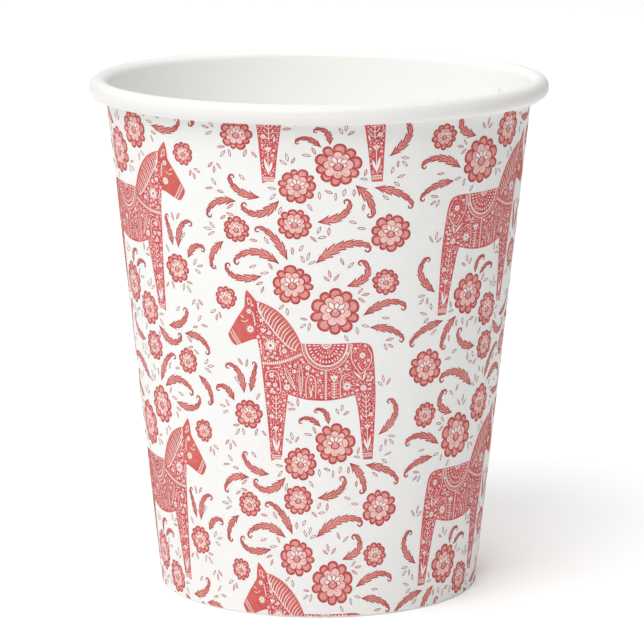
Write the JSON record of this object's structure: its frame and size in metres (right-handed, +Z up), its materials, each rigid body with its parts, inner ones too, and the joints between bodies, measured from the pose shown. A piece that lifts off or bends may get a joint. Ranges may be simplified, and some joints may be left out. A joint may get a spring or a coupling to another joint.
{
  "type": "paper cup",
  "caption": "Single-wall paper cup with an outward-rolled rim, lapped side seam, recessed base and hemmed foot, printed all over with folk horses and flowers.",
  "frame": {"origin": "on the table, at the centre of the foot", "axes": "+Z up along the cup's axis; -Y is the front, where the horse at mid-height stands; the side seam is 105 degrees round from the front towards +X"},
  "size_m": [0.08, 0.08, 0.09],
  "materials": {
    "wall_board": "satin white coated board",
    "base_board": "satin white coated board",
    "print_ink": "matt coral-red ink on board"
  },
  "bodies": {
    "root": {"sidewall": "wall_board", "base_disc": "base_board"}
  },
  "joints": []
}
